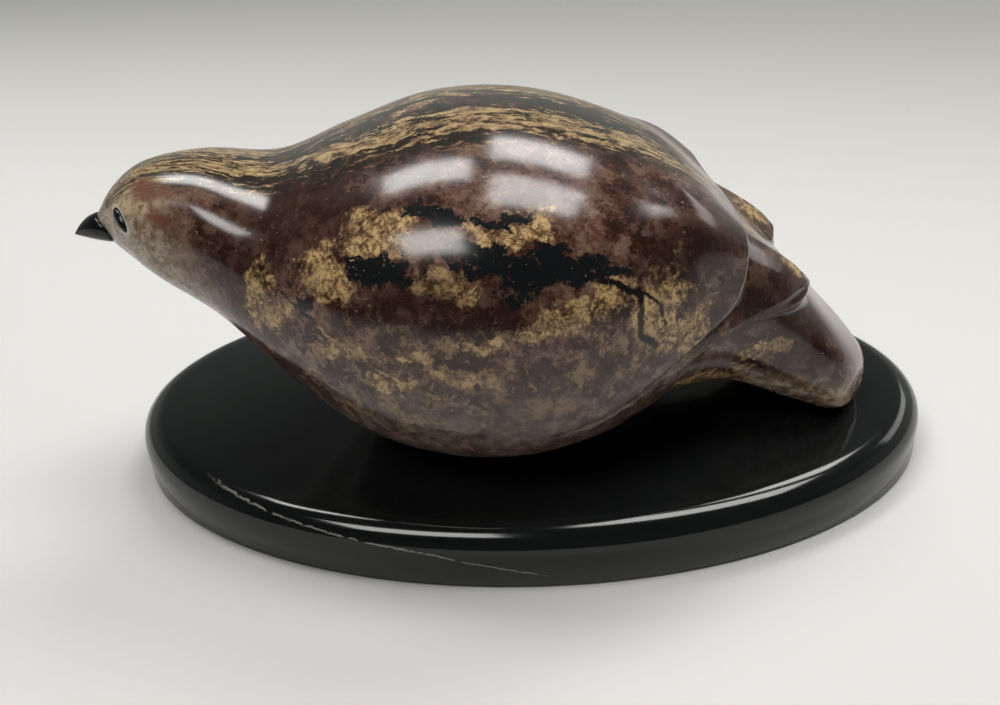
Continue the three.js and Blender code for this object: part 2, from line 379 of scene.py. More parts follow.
def covert_rise(down, left):
    side = mix(COVERT["back_rise"], COVERT["side_rise"], ease(down, 0.0, COVERT["corner"]))
    fade = 1.0 - ease(down, COVERT["fade_from"], COVERT["fade_to"])
    return (side + COVERT["corner_rise"] * near_corner(down, left)) * fade


def covert_step(down, left):
    return COVERT["step"] + COVERT["corner_step"] * near_corner(down, left)


def primary_rise(down):
    inner = ease(down, PRIMARY["tip"] - PRIMARY["inner_fade"], PRIMARY["tip"])
    outward = ease(down, PRIMARY["tip"], PRIMARY["outer"])
    fade = 1.0 - ease(down, PRIMARY["fade_from"], PRIMARY["fade_to"])
    return mix(PRIMARY["tip_rise"], PRIMARY["edge_rise"], outward) * inner * fade


def rounded_over(down, t):
    """The share of its rise that the primary layer keeps: its point is rounded over at the end."""
    return 1.0 - PRIMARY["rounding"] * bell(down, PRIMARY["tip"], PRIMARY["round_spread"]) * t ** 6


print("covert corner stands", round(float(covert_rise(COVERT["corner"], True)), 1), "mm proud")

# %% [markdown]
# The grid has three bands of rows: the body as far as the covert's edge, the primary layer, and the tail. Rows
# that turn over each lip lie close together, so the lip stays round and the light runs along it as a thin line.
# The primary's lower edge is cut twice, which leaves a narrow band between two lips.

# %% Lay the rows of the grid
AROUND = 288
ROWS = {"body": 170, "lip": 5, "primary": 24, "band": 4, "tail": 58, "cap": 8}
LIP = 0.40
LIP_SHARE = 0.45
BAND = {"wide": 2.3, "drop": 0.85, "run": 0.22, "lip": 0.2, "inside": radians(4), "outside": radians(26)}
KEEP_APART = 0.004


def lay_rows():
    angle = 2.0 * pi * np.arange(AROUND) / AROUND
    down = np.minimum(angle, 2.0 * pi - angle)
    left = angle <= pi
    covert, primary = covert_edge(down, left), primary_edge(down, left)
    rise_c, rise_p = covert_rise(down, left), primary_rise(down)
    share = np.minimum(rise_p / PRIMARY["edge_rise"], 1.0)
    low_c = np.maximum(rise_c - covert_step(down, left), 0.0) * share
    rise_end = rise_p * rounded_over(down, 1.0)
    banded = share * ease(down, PRIMARY["tip"] - BAND["inside"], PRIMARY["tip"] + BAND["outside"])
    drop = BAND["drop"] * banded
    line = primary - BAND["wide"] * banded
    rows, last = [], covert - 9.0

    def lay(distance, lift):
        nonlocal last
        last = np.maximum(distance, last + KEEP_APART)
        rows.append(skin(station_at(last), angle, lift))

    def step(at, run, top, foot, lip):
        lip = np.minimum(lip, LIP_SHARE * (top - foot))
        turns = np.linspace(0.0, pi / 2.0, ROWS["lip"] + 1)
        for turn in turns:
            lay(at - run - lip * (1.0 - sin(turn)), top - lip * (1.0 - cos(turn)))
        for turn in turns:
            lay(at + run - lip * (1.0 - sin(turn)) * 0.9, foot + lip * (1.0 - sin(turn)))

    edge = covert - STEP_RUN
    lip_c = np.minimum(LIP, LIP_SHARE * (rise_c - low_c))
    for t in np.linspace(0.0, 1.0, ROWS["body"])[:-1]:
        station = station_at(edge - lip_c) * t
        rows.append(skin(station, angle, rise_c * ease(through("at", station), edge - COVERT["run"], edge)))
    step(covert, STEP_RUN, rise_c, low_c, LIP)
    start, end = covert + STEP_RUN, line - BAND["run"] - BAND["lip"]
    for t in np.linspace(0.0, 1.0, ROWS["primary"])[1:-1]:
        lay(mix(start, end, t), mix(low_c, rise_p, t ** 0.85) * rounded_over(down, t))
    step(line, BAND["run"], rise_end, rise_end - drop, BAND["lip"])
    start, end = line + BAND["run"], primary - STEP_RUN - LIP
    for t in np.linspace(0.0, 1.0, ROWS["band"])[1:-1]:
        lay(mix(start, np.maximum(end, start), t), rise_end - drop)
    step(primary, STEP_RUN, rise_end - drop, 0.0 * rise_p, LIP)
    for t in np.linspace(0.0, 1.0, ROWS["tail"])[1:]:
        rows.append(skin(mix(station_at(last), LAST_STATION, t), angle))
    rim, heart = rows[-1], rows[-1].mean(0)
    for turn in np.linspace(0.0, pi / 2.0, ROWS["cap"] + 1)[1:-1]:
        row = mix(heart, rim, cos(turn))
        row[:, 0] = mix(heart[0], TAIL_TIP, sin(turn))
        rows.append(row)
    return np.array(rows), np.array([TAIL_TIP, 0.0, heart[2]])


bird_rows, tail_tip = lay_rows()
print("bird rows:", len(bird_rows), "of", AROUND, "points")


# %% Close the rows into a mesh
def closed_mesh(name, rows, start, end):
    """Joins rows of points into side walls, and closes both ends with a fan."""
    count = rows.shape[1]
    points = np.concatenate([rows.reshape(-1, 3), [start, end]]) * MM
    first, last = len(points) - 2, len(points) - 1
    faces = []
    for r in range(len(rows) - 1):
        for i in range(count):
            a, b = r * count + i, r * count + (i + 1) % count
            faces.append((a, b, b + count, a + count))
    top = (len(rows) - 1) * count
    for i in range(count):
        faces.append((first, (i + 1) % count, i))
        faces.append((last, top + i, top + (i + 1) % count))
    mesh = bpy.data.meshes.new(name)
    mesh.from_pydata(points.tolist(), [], faces)
    mesh.shade_smooth()
    piece = bpy.data.objects.new(name, mesh)
    bpy.context.scene.collection.objects.link(piece)
    return piece


bird = closed_mesh("bird_skin", bird_rows, bird_rows[0].mean(0), tail_tip)
print("bird faces:", len(bird.data.polygons))

# %% [markdown]
# ## The eyes
# The eyes are slim ovals of black stone let into the head, with a domed face. Their sockets could be painted on,
# but a real edge catches the light, so a boolean cuts each one out of the skin with a slightly larger oval.

# %% Shape the eyes
EYE = {"station": 1.37, "angle": radians(66), "slant": radians(52), "length": 6.2, "width": 2.7,
       "dome": 0.8, "depth": 2.4, "sides": 64, "steps": 12}
GAP = 0.3
SIDES = {"eye_left": 1, "eye_right": -1}


def eye_frame(side):
    """The middle of an eye on the skin, its long and its short axis, and the way out."""
    angle = EYE["angle"] if side > 0 else 2.0 * pi - EYE["angle"]
    beside = ((0, 0), (0.05, 0), (-0.05, 0), (0, 0.05), (0, -0.05))
    spot = [Vector(skin(np.array(EYE["station"] + du), np.array(angle + da))) for du, da in beside]
    along = (spot[1] - spot[2]).normalized()
    around = (spot[3] - spot[4]).normalized()
    out = around.cross(along).normalized()
    long = Matrix.Rotation(-side * EYE["slant"], 3, out) @ along
    return spot[0], long, out.cross(long), out


def eye_rows(side, heights, scales, grow):
    centre, long, short, out = (np.array(v) for v in eye_frame(side))
    turn = 2.0 * pi * np.arange(EYE["sides"]) / EYE["sides"]
    a, b = EYE["length"] / 2.0 + grow, EYE["width"] / 2.0 + grow
    rows = [centre + np.outer(a * k * np.cos(turn), long) + np.outer(b * k * np.sin(turn), short) + h * out
            for h, k in zip(heights, scales)]
    return np.array(rows), centre, out


def make_eye(side, name):
    domed = np.linspace(0.0, pi / 2.0, EYE["steps"])[:-1]
    heights = [-EYE["depth"]] + list(EYE["dome"] * np.sin(domed))
    scales = [1.0] + list(np.cos(domed))
    rows, centre, out = eye_rows(side, heights, scales, 0.0)
    return closed_mesh(name, rows, centre - EYE["depth"] * out, centre + EYE["dome"] * out)


eyes = {"eye_left": make_eye(SIDES["eye_left"], "eye_inlay_left"),
        "eye_right": make_eye(SIDES["eye_right"], "eye_inlay_right")}
print("eye faces:", [len(eye.data.polygons) for eye in eyes.values()])

# %% Cut the sockets
ABOVE_SKIN = 3.0


def cut_out(cutter, name):
    """Takes the cutter's shape out of the bird, and the cutter out of the scene."""
    cut = bird.modifiers.new(name, "BOOLEAN")
    cut.object, cut.operation, cut.solver = cutter, "DIFFERENCE", "EXACT"
    bpy.context.view_layer.objects.active = bird
    bpy.ops.object.modifier_apply(modifier=name)
    bpy.data.objects.remove(cutter)


def socket_cutter(side):
    deep = EYE["depth"] + GAP
    rows, centre, out = eye_rows(side, [-deep, ABOVE_SKIN], [1.0, 1.0], GAP)
    return closed_mesh("socket_cutter", rows, centre - deep * out, centre + ABOVE_SKIN * out)


for side in SIDES.values():
    cut_out(socket_cutter(side), "socket")
print("bird faces with sockets:", len(bird.data.polygons))

# %% [markdown]
# ## The beak
# The beak is a small cone of the same black stone, set against the brow with a thin joint. Its back is nearly
# straight and its belly bows up to the point. A cone from the menu has no such bow, so its rows are worked out:
# the first follows the bird's own first section, which keeps the joint even.

# %% Shape the beak
BEAK = {"length": 7.7, "drop": 1.3, "sides": 96, "rows": 28, "back": 1.9, "belly": 1.2, "half": 1.6}
brow = dict(zip(COLUMNS, SECTIONS[0]))
brow_middle = (brow["back"] + brow["belly"]) / 2.0


def beak_rows():
    angle = 2.0 * pi * np.arange(BEAK["sides"]) / BEAK["sides"]
    point = brow_middle - BEAK["drop"]
    rows = []
    for r in range(BEAK["rows"]):
        t = sin(r / BEAK["rows"] * pi / 2.0)
        back = mix(brow["back"], point, t ** BEAK["back"])
        belly = mix(brow["belly"], point, t ** BEAK["belly"])
        half = brow["half"] * (1.0 - t ** BEAK["half"])
        bow = np.sin(angle) ** 2 * brow["wrap"] - np.cos(angle) * brow["lean"] / 2.0
        x = brow["at"] - GAP - BEAK["length"] * t + (1.0 - t) * bow
        z = (back + belly) / 2.0 + (back - belly) / 2.0 * np.cos(angle)
        rows.append(np.stack([x, half * np.sin(angle), z], -1))
    return np.array(rows)


beak = closed_mesh("beak_stone", beak_rows(), np.array([brow["at"] - GAP, 0.0, brow_middle]),
                   np.array([brow["at"] - GAP - BEAK["length"], 0.0, brow_middle - BEAK["drop"]]))
print("beak faces:", len(beak.data.polygons))

# %% [markdown]
# ## The plinth
# A flat oval of black stone with a plain wall and a rounded upper edge. A cylinder with a bevel modifier would
# do, but rings of points keep the oval and the round exact, and the polish then shows no flat facets.

# %% Turn the plinth
PLINTH = {"length": 210.0, "width": 124.0, "height": 15.0, "round": 6.5, "foot": 0.4, "sides": 320,
          "steps": 14, "top_rings": (9.0, 16.0, 28.0, 44.0)}


def plinth_rows():
    turn = 2.0 * pi * np.arange(PLINTH["sides"]) / PLINTH["sides"]

    def oval(inset, height):
        x = (PLINTH["length"] / 2.0 - inset) * np.cos(turn)
        y = (PLINTH["width"] / 2.0 - inset) * np.sin(turn)
        return np.stack([x, y, np.full_like(x, height)], -1)

    rows = [oval(PLINTH["foot"], 0.0), oval(0.0, PLINTH["foot"])]
    for k in range(PLINTH["steps"] + 1):
        lean = k / PLINTH["steps"] * pi / 2.0
        height = PLINTH["height"] - PLINTH["round"] * (1.0 - sin(lean))
        rows.append(oval(PLINTH["round"] * (1.0 - cos(lean)), height))
    for inset in PLINTH["top_rings"]:
        rows.append(oval(inset, PLINTH["height"]))
    return np.array(rows)


plinth = closed_mesh("plinth_slab", plinth_rows(), np.zeros(3), np.array([0.0, 0.0, PLINTH["height"]]))
print("plinth faces:", len(plinth.data.polygons))

# %% [markdown]
# ## Place the pieces
# The bird's underside is ground flat where it rests. A knife tool could do it, but a block below the plinth's
# top cuts the flat with the same boolean as the sockets.

# %% Grind the seat flat
BLOCK = {"reach": 0.2, "depth": 0.05}
block_mesh = bpy.data.meshes.new("seat_block")
corners = [(x, y, z) for x in (-BLOCK["reach"], BLOCK["reach"]) for y in (-BLOCK["reach"], BLOCK["reach"])
           for z in (-BLOCK["depth"], 0.0)]
block_mesh.from_pydata(corners, [], [(0, 1, 3, 2), (4, 6, 7, 5), (0, 4, 5, 1), (2, 3, 7, 6),
                                     (0, 2, 6, 4), (1, 5, 7, 3)])
block = bpy.data.objects.new("seat_block", block_mesh)
bpy.context.scene.collection.objects.link(block)
cut_out(block, "seat")
print("bird faces with the seat:", len(bird.data.polygons))

# %% [markdown]
# The fine skin bulges a hair more than the faceted solid, so it is lowered until both tops agree. Then the bird
# is turned a few degrees and moved to the near side, as it stands in the photograph. An object's own rotation
# would do the same, but its measured box would be too large, so the turn goes into the points.

# %% Seat the bird
STANCE = {"across": -7.5, "turn": radians(5.4), "seat": 15.0}
CREASE = radians(42)
seat_point = Vector((0.0, STANCE["across"], STANCE["seat"])) * MM
fine_top = max(v.co.z for v in bird.data.vertices)
solid_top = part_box("bird")[1].z - STANCE["seat"] * MM
bird.data.transform(Matrix.Diagonal((1.0, 1.0, min(solid_top / fine_top, 1.0), 1.0)))
bird.data.shade_smooth()
bpy.ops.object.select_all(action="DESELECT")
bird.select_set(True)
bpy.context.view_layer.objects.active = bird
bpy.ops.object.shade_smooth_by_angle(angle=CREASE)
stance = Matrix.Translation(seat_point) @ Matrix.Rotation(STANCE["turn"], 4, "Z")
for piece in (bird, beak, *eyes.values()):
    piece.data.transform(stance)
print("bird top", round(fine_top / MM, 3), "mm, solid", round(solid_top / MM, 3), "mm above the plinth")

# %% [markdown]
# ## The stone of the bird
# Soapstone of this kind is purple-brown, clouded with darker and paler mauve. Thin layers of ochre and nearly
# black stone run along the back, and patches of both show in the flank. An image could carry this, but nodes
# keep it sharp at any distance and need no mapping. A mapping node undoes the bird's turn first, so that every
# place below can be given in millimetres along, across and up the bird.

# %% Find a point in the bird's own frame
stone = Finish("bird_stone", roughness=0.17)
world_point = stone.add("ShaderNodeTexCoord", output="Object")
own_point = stone.add("ShaderNodeMapping", {"vector_type": "TEXTURE"}, {
    "Vector": world_point, "Location": seat_point, "Rotation": (0.0, 0.0, STANCE["turn"])})
here = stone.vector("MULTIPLY", own_point, (PER_METRE, PER_METRE, PER_METRE))
x, y, z = stone.parts(here)
spine = 40.0 + stone.between(x, -35.0, -82.0, 0.0, 18.0) - stone.between(x, 35.0, 78.0, 0.0, 28.0)
around = stone.add("ShaderNodeMath", {"operation": "ARCTAN2"}, {0: y, 1: z - spine})
side = abs(around)
print("stone nodes so far:", len(stone.nodes))

# %% [markdown]
# A few noises are enough for the whole stone. Two colour noises bend the coordinates, a slow one that makes the
# patches drift and a quick one that frays them, and the others are read in these bent coordinates or in plain
# ones: clouds for whole areas, mottle and blobs for marks of some millimetres, spots and grains for the finest.

# %% Mix the noises
MIDDLE = (0.5, 0.5, 0.5)


def bent(where, noise, reach):
    return stone.vector("ADD", where, stone.vector("MULTIPLY", noise, reach))


drift = stone.vector("SUBTRACT", stone.noise(here, 0.045, 3.0, 0.6, "Color"), MIDDLE)
fray = stone.vector("SUBTRACT", stone.noise(here, 0.22, 4.0, 0.65, "Color"), MIDDLE)
warped = bent(bent(here, drift, (16.0, 10.0, 12.0)), fray, (9.0, 5.0, 6.0))
curled = bent(here, fray, (9.0, 9.0, 9.0))
wavy = bent(here, fray, (3.0, 3.0, 3.0))
clouds = stone.noise(warped, 0.06, 6.0, 0.68)
mottle = stone.noise(here, 0.24, 7.0, 0.72)
blobs = stone.noise(curled, 0.19, 8.0, 0.64)
spots = stone.noise(curled, 0.50, 5.0, 0.64)
grains = stone.noise(here, 0.9, 4.0, 0.72)
print("stone nodes so far:", len(stone.nodes))

# %% Cloud the purple-brown ground
GROUND_STOPS = [
    (0.36, (0.009, 0.004, 0.003)), (0.44, (0.026, 0.010, 0.007)), (0.50, (0.062, 0.027, 0.018)),
    (0.57, (0.115, 0.062, 0.045)), (0.68, (0.22, 0.150, 0.115))]
MAUVE = (0.175, 0.112, 0.086)
DEEP_BROWN = (0.018, 0.007, 0.005)
RUSTY_BROWN = (0.075, 0.022, 0.013)
tone = 0.50 * clouds + 0.50 * mottle + 0.34 * (grains - 0.5)
ground = stone.add("ShaderNodeValToRGB", {"stops": GROUND_STOPS}, {"Fac": tone})
mauve_share = stone.between(z, 66.0, 46.0, 0.30, 0.62)
ground = stone.blend(ground, MAUVE, stone.between(blobs, 0.525, 0.580) * mauve_share)
ground = stone.blend(ground, DEEP_BROWN, stone.between(blobs, 0.470, 0.420) * 0.75)
ground = stone.blend(ground, RUSTY_BROWN, stone.between(spots, 0.575, 0.62) * 0.55)
print("ground colours:", len(GROUND_STOPS) + 3)

# %% [markdown]
# Each patch is a ball in the bird's own frame, squeezed along and across. How far a point lies inside the nearest
# ball is added to a rough noise, and only the sum decides, so a patch frays and breaks up as it does in the stone.
# A painted mask would be quicker to place, but would blur when one comes close.


# %% Measure how deep a point lies in a patch
def depth_in(places):
    """1 at the middle of the nearest place, 0 at its rim, less outside."""
    nearest = None
    for centre, size in places:
        reach = stone.length(stone.vector("DIVIDE", stone.vector("SUBTRACT", warped, centre), size))
        nearest = reach if nearest is None else least(nearest, reach)
    return 1.0 - nearest


def frayed(places, noise, bite, soft):
    """A mask of the places: the bite says how far the noise eats into them, soft how wide their rim is."""
    return stone.between(depth_in(places) + bite * (noise - 0.5), -soft, soft)


print("a patch keeps its place and frays at its rim")

# %% Set the ochre patches
# the middle of each patch and its half sizes, from the head to the tail, the hidden side last
OCHRE_PLACES = [
    ((-28, -38, 65), (7, 9, 6)), ((-38, -36, 58), (8, 10, 5)), ((-54, -30, 51), (5, 9, 7)),
    ((-1, -39, 68), (8, 8, 2.4)), ((-14, -45, 60), (6, 9, 2.4)), ((20, -43, 53), (6, 9, 3)),
    ((30, -40, 47), (8, 11, 7)), ((10, -48, 50), (11, 10, 3)), ((38, -36, 40), (6, 9, 4)),
    ((-11, -50, 48), (6, 9, 1.3)), ((-21, -49, 43), (3, 9, 1.3)), ((-12, -50, 40), (7, 9, 2)),
    ((-36, -42, 43), (7, 9, 2)), ((-28, -45, 38), (5, 9, 2)), ((46, -28, 22), (10, 10, 2.4)),
    ((56, -27, 27), (5, 8, 2.4)), ((64, -15, 43), (6, 3.5, 3.4)), ((62, 15, 45), (8, 4, 4)),
    ((34, 32, 50), (8, 12, 7)), ((-20, 44, 56), (11, 12, 6)), ((8, 47, 48), (12, 12, 4)),
]
ragged = stone.noise(here, 0.13, 8.0, 0.74)
broken = stone.between(spots, 0.44, 0.50)
patchy = stone.between(stone.noise(warped, 0.10, 4.0, 0.6), 0.36, 0.56)
ochre = frayed(OCHRE_PLACES, 0.5 * ragged + 0.5 * mottle, 4.4, 0.22) * (0.25 + 0.75 * broken)
print("ochre places:", len(OCHRE_PLACES))

# %% Set the black and the dark patches
BLACK_PLACES = [
    ((-16, -36, 70), (9, 8, 1.5)), ((-1, -38, 69.5), (6, 8, 0.9)), ((-27, -41, 61), (8, 8, 2.6)),
    ((-6, -43, 63.5), (8, 9, 3.0)), ((4, -45, 61), (9, 9, 5)), ((13, -43.5, 59), (7, 9, 4.0)),
    ((19, -42, 57), (6, 9, 1.6)), ((-45, -36, 52), (2.4, 5, 2.0)), ((-2.3, -47.9, 56), (2.2, 4, 1.7)),
    ((0, 45, 60), (10, 10, 3)), ((22, 40, 56), (7, 9, 3)), ((-34, 39, 50), (5, 9, 3)),
]
DARK_PLACES = [
    ((-46, -20, 66), (16, 12, 6)), ((-36, -25, 69), (14, 12, 5)), ((-58, -26, 57), (6, 9, 7)),
    ((-22, -47, 53), (20, 10, 6)), ((38, -33, 55), (12, 12, 9)), ((42, -22, 55), (9, 10, 6)),
    ((57, -24, 42), (12, 12, 9)), ((66, -20, 29), (16, 12, 10)), ((64, 22, 28), (14, 12, 9)),
    ((40, 31, 57), (12, 12, 9)), ((-40, 24, 66), (14, 12, 5)),
]
jagged = stone.noise(curled, 0.22, 8.0, 0.70)
black = frayed(BLACK_PLACES, jagged, 2.6, 0.10) * stone.between(spots, 0.66, 0.62)
dark = frayed(DARK_PLACES, clouds, 2.4, 0.7)
print("black places:", len(BLACK_PLACES), "dark places:", len(DARK_PLACES))

# %% [markdown]
# Two cracks filled with dark stone run through the near flank, one of them forked, and a third is filled with
# tan. The near covert's edge gets a thin pale line, partly rubbed stone and partly a painted highlight along its
# lip. All of them are thin lines through a few points: a curve object could lie on the skin, but a distance to
# short straight runs, worked out by nodes, follows the skin by itself.


# %% Draw a thin line
def thin_line(points, wide, where=wavy):
    """A thin line through the points, as wide as that at its core."""
    found = None
    for start, end in zip(points, points[1:]):
        start, run = Vector(start), Vector(end) - Vector(start)
        apart = stone.vector("SUBTRACT", where, start)
        along = stone.dot(apart, run / run.length_squared)
        along = stone.add("ShaderNodeClamp", None, {"Value": along})
        nearest = stone.add("ShaderNodeVectorMath", {"operation": "SCALE"}, {0: run, "Scale": along})
        off = stone.add("ShaderNodeVectorMath", {"operation": "DISTANCE"}, {0: apart, 1: nearest}, "Value")
        found = off if found is None else least(found, off)
    return stone.between(found + 0.8 * (grains - 0.5), wide * 1.5, wide * 0.6)


FORK = (25.3, -41.0, 52.0)
NECK_END = (-41.6, -38.5, 48.6)
neck_crack = thin_line([(-49.3, -32.2, 53.2), (-45.5, -35.5, 51.0), NECK_END], 0.35)
flank_crack = thin_line([(17.0, -43.0, 56.5), FORK, (25.0, -43.6, 43.3), (28.4, -42.3, 39.8)], 0.75)
branch_crack = thin_line([FORK, (29.5, -39.8, 48.5), (31.0, -40.6, 43.5)], 0.45)
tan_crack = thin_line([NECK_END, (-39.3, -40.4, 46.3), (-27.6, -46.3, 39.9)], 0.45)
cracks = most(neck_crack, most(flank_crack, branch_crack))
print("stone nodes so far:", len(stone.nodes))

# %% Paint the covert's edge pale: wear and a painted highlight
edge_angles = np.radians(np.linspace(14.0, 118.0, 12))
covert_line = skin(station_at(covert_edge(edge_angles, True) - STEP_RUN), edge_angles,
                   covert_rise(edge_angles, True))
worn_edge_and_highlight = thin_line(covert_line.tolist(), 0.35, here)
print("worn from", round(degrees(edge_angles[0])), "to", round(degrees(edge_angles[-1])), "degrees down")


# %% Ring the eyes with a pale lip and a painted reflection
def eye_lip_and_reflection(side):
    centre, long, short, _ = eye_frame(side)
    apart = stone.vector("SUBTRACT", here, centre)
    lengthwise = stone.dot(apart, long / (EYE["length"] / 2.0 + GAP))
    crosswise = stone.dot(apart, short / (EYE["width"] / 2.0 + GAP))
    reach = stone.length(stone.join(lengthwise, crosswise, 0.0))
    # a pale ring just outside each socket: the stone's lip, and partly a painted reflection of the room along it
    return stone.between(reach, 1.40, 1.15) * stone.between(y * side, 0.0, -2.0)


lips_and_reflections = most(eye_lip_and_reflection(SIDES["eye_left"]), eye_lip_and_reflection(SIDES["eye_right"]))
print("stone nodes so far:", len(stone.nodes))

# %% [markdown]
# The layers of the back are noise in stretched coordinates: along the bird they change slowly, around it quickly.
# A wave texture would draw them too evenly. Ochre lies thickest a little down from the ridge, and near-black
# layers lie on both sides of it.

# %% Run the layers along the back
LAYERS = {"full": 0.42, "gone": 0.60, "thickest": 0.27}
arc = around * 45.0 + 16.0 * (stone.noise(here, 0.035, 3.0) - 0.5) + 3.0 * (mottle - 0.5)
layers = stone.noise(stone.join(x * 0.075, arc * 0.36, z * 0.05), 1.0, 8.0, 0.70)
flakes = stone.noise(stone.join(x * 0.24, arc * 0.70, 7.0), 1.0, 7.0, 0.74)
laid = 0.55 * layers + 0.45 * flakes
head = stone.between(x, -46.0, -62.0)
frayed_side = side + 0.30 * (clouds - 0.5) + 0.22 * (flakes - 0.5) - 0.16 * head
zone = stone.between(x, 74.0, 60.0) * stone.between(frayed_side, LAYERS["gone"], LAYERS["full"])
thick = stone.between(abs(side - LAYERS["thickest"]), 0.20, 0.05)
gold = zone * stone.between(laid + 0.085 * thick + 0.03 * head + 0.12 * (mottle - 0.5), 0.545, 0.585)
dark_layers = zone * stone.between(laid + 0.02 * thick, 0.55, 0.50)
print("layers end about", round(degrees(LAYERS["gone"])), "degrees from the ridge")

# %% [markdown]
# ## The colours of the stone
# The colours are laid over each other as thin washes, the ground first and the small marks last. One ramp could
# hold them all, but then no patch could have its own place.

# %% Colour the flank
SHADE = (0.017, 0.007, 0.005)
GREY_STONE = ((0.062, 0.043, 0.033), (0.16, 0.118, 0.092))
TAN_CELL = (0.27, 0.180, 0.095)
colour = stone.blend(ground, SHADE, dark * 0.78)
low_flank = stone.between(z + 14.0 * (clouds - 0.5), 46.0, 26.0) * stone.between(abs(x), 60.0, 30.0)
grey_stone = stone.blend(*GREY_STONE, stone.between(mottle, 0.42, 0.62))
colour = stone.blend(colour, grey_stone, low_flank * 0.72)
tan_cells = stone.between(0.5 * blobs + 0.5 * spots, 0.515, 0.575) * stone.between(abs(z - 38.0), 20.0, 6.0)
colour = stone.blend(colour, TAN_CELL, tan_cells * stone.between(abs(x), 64.0, 34.0) * 0.60)
print("stone nodes so far:", len(stone.nodes))

# %% Colour the face
FACE_STONE = ((0.19, 0.125, 0.080), (0.36, 0.295, 0.215))
CROWN_CREAM = (0.42, 0.33, 0.20)
FACE_BROWN = (0.085, 0.045, 0.032)
face = stone.between(x + 0.35 * z + 16.0 * (clouds - 0.5), -46.0, -58.0)
face_stone = stone.blend(*FACE_STONE, stone.between(mottle, 0.42, 0.58))
crown = stone.between(z + 9.0 * (blobs - 0.5), 64.0, 68.0)
face_stone = stone.blend(face_stone, CROWN_CREAM, crown * 0.7)
face_stone = stone.blend(face_stone, FACE_BROWN, stone.between(spots, 0.45, 0.40) * 0.7)
colour = stone.blend(colour, face_stone, face * 0.92)
print("stone nodes so far:", len(stone.nodes))

# %% Colour the layers of the back
LAYER_BLACK = (0.012, 0.012, 0.010)
GOLD_STONE = ((0.13, 0.085, 0.045), (0.34, 0.245, 0.125))
GOLD_BROWN = (0.07, 0.032, 0.022)
colour = stone.blend(colour, LAYER_BLACK, dark_layers * 0.88)
gold_stone = stone.blend(*GOLD_STONE, stone.between(flakes, 0.40, 0.62))
gold_stone = stone.blend(gold_stone, GOLD_BROWN, stone.between(spots, 0.46, 0.42) * 0.8)
colour = stone.blend(colour, gold_stone, gold)
print("stone nodes so far:", len(stone.nodes))

# %% Colour the ochre, and the tail's low band with painted light
OCHRE_STONE = ((0.13, 0.074, 0.030), (0.44, 0.305, 0.140))
OCHRE_BROWN = (0.07, 0.026, 0.016)
TAIL_STONE_PAINTED_LIGHTER = ((0.13, 0.085, 0.055), (0.48, 0.36, 0.26))
ochre_stone = stone.blend(*OCHRE_STONE, stone.between(grains + 0.6 * (mottle - 0.5), 0.36, 0.60))
ochre_stone = stone.blend(ochre_stone, OCHRE_BROWN, stone.between(mottle, 0.46, 0.42) * 0.75)
colour = stone.blend(colour, ochre_stone, ochre * (0.45 + 0.55 * patchy))
# the tail's low band is tan-grey stone, painted much paler still as painted light where the skin turns down into
# shade
tail_height = z + 0.22 * (x - 62.0) + 6.0 * (clouds - 0.5)
tail_low_band_painted_light = stone.between(x, 44.0, 54.0) * stone.between(tail_height, 20.0, 14.5)
tail_stone_painted_lighter = stone.blend(*TAIL_STONE_PAINTED_LIGHTER, stone.between(mottle, 0.40, 0.62))
colour = stone.blend(colour, tail_stone_painted_lighter, tail_low_band_painted_light * 0.85)
print("stone nodes so far:", len(stone.nodes))

# %% Add the small marks
RUST_PLACES = [((-80.4, -10.6, 69.5), (5, 4, 2.6)), ((-76.2, -15.6, 65.1), (3.6, 3, 2.2)),
               ((-78.0, 12.0, 68.0), (4, 4, 2.4))]
rust = frayed(RUST_PLACES, mottle, 1.2, 0.5)
pits = stone.between(stone.noise(here, 0.75, 5.0, 0.75), 0.355, 0.30)
flecks = stone.between(stone.noise(here, 1.1, 3.0, 0.6), 0.70, 0.735)
MARKS = [
    ((0.105, 0.036, 0.022), rust * 0.85),
    ((0.0055, 0.0065, 0.007), black),
    ((0.25, 0.18, 0.10), tan_crack),
    ((0.006, 0.005, 0.005), cracks),
    # pale ring around the eyes: stone lip and painted reflection
    ((0.46, 0.45, 0.38), lips_and_reflections * 0.8),
    # pale line on the covert's edge: rubbed stone and a painted highlight on its lip
    ((0.34, 0.27, 0.20), worn_edge_and_highlight * 0.65),
    ((0.008, 0.005, 0.004), pits * 0.85),
    ((0.40, 0.33, 0.21), flecks * 0.8),
]
for mark_colour, mask in MARKS:
    colour = stone.blend(colour, mark_colour, mask)
print("small marks:", len(MARKS))

# %% Polish the bird
stone.paint("Base Color", colour)
stone.paint("Roughness", 0.12 + 0.08 * stone.noise(here, 0.3, 3.0) + 0.07 * face)
bird.data.materials.clear()
bird.data.materials.append(stone.material)
print("bird stone nodes:", len(stone.nodes))

# %% [markdown]
# ## The black stone
# Plinth, beak and eyes are a fine black stone, polished until it mirrors. The plinth has one thin pale vein that
# falls across its near left edge. It could be a thread of geometry, but in the stone it lies flush, so it is
# a narrow band of colour around a height that depends on the distance along the edge.

